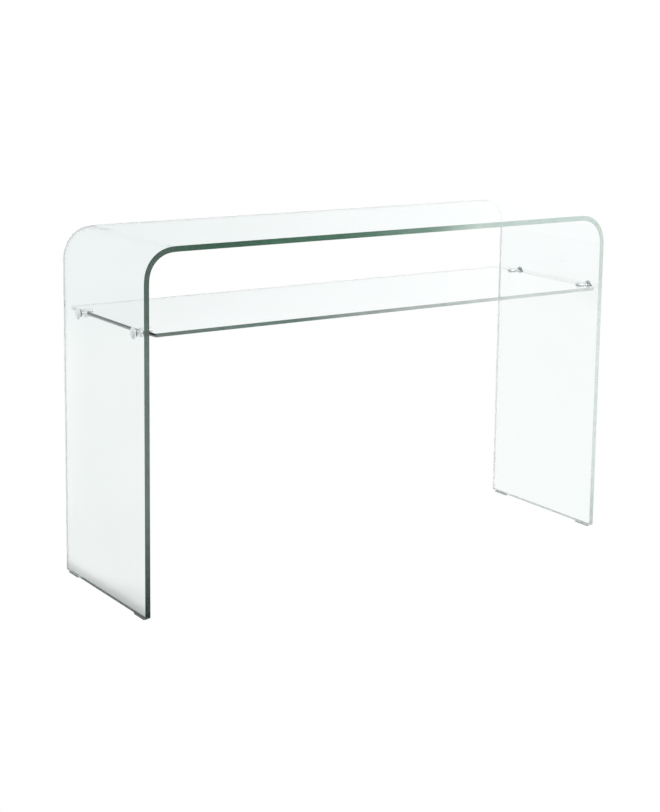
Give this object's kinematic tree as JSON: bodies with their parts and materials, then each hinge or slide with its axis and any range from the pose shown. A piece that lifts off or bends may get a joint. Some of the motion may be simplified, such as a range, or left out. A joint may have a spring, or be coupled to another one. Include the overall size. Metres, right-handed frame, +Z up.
{
  "type": "console table",
  "caption": "Narrow console table bent from one sheet of clear glass, with rounded corners and a clear glass shelf held between its legs by chrome clamps.",
  "frame": {"origin": "on the floor, under the middle of the table", "axes": "+X along the table's length, -Y towards its front, +Z up"},
  "size_m": [1.257, 0.38, 0.785],
  "materials": {
    "bent_glass": "clear float glass with a green tint at its polished edges",
    "shelf_glass": "clear float glass with a grey green tint at its polished edges",
    "polished_chrome": "polished chrome plate",
    "clear_nylon": "clear moulded nylon",
    "screw_steel": "plain stainless steel",
    "foot_plastic": "soft clear plastic pad"
  },
  "bodies": {
    "root": {"bent_glass_body": "bent_glass", "glass_shelf": "shelf_glass", "left_front_cap_bolt": "polished_chrome", "left_front_hole_bush": "clear_nylon", "left_front_inner_washer": "clear_nylon", "left_front_shelf_clamp": "polished_chrome", "left_front_clamp_liner": "clear_nylon", "left_front_grub_screw": "screw_steel", "left_front_foot_pad": "foot_plastic", "left_back_cap_bolt": "polished_chrome", "left_back_hole_bush": "clear_nylon", "left_back_inner_washer": "clear_nylon", "left_back_shelf_clamp": "polished_chrome", "left_back_clamp_liner": "clear_nylon", "left_back_grub_screw": "screw_steel", "left_back_foot_pad": "foot_plastic", "right_front_cap_bolt": "polished_chrome", "right_front_hole_bush": "clear_nylon", "right_front_inner_washer": "clear_nylon", "right_front_shelf_clamp": "polished_chrome", "right_front_clamp_liner": "clear_nylon", "right_front_grub_screw": "screw_steel", "right_front_foot_pad": "foot_plastic", "right_back_cap_bolt": "polished_chrome", "right_back_hole_bush": "clear_nylon", "right_back_inner_washer": "clear_nylon", "right_back_shelf_clamp": "polished_chrome", "right_back_clamp_liner": "clear_nylon", "right_back_grub_screw": "screw_steel", "right_back_foot_pad": "foot_plastic"}
  },
  "joints": []
}
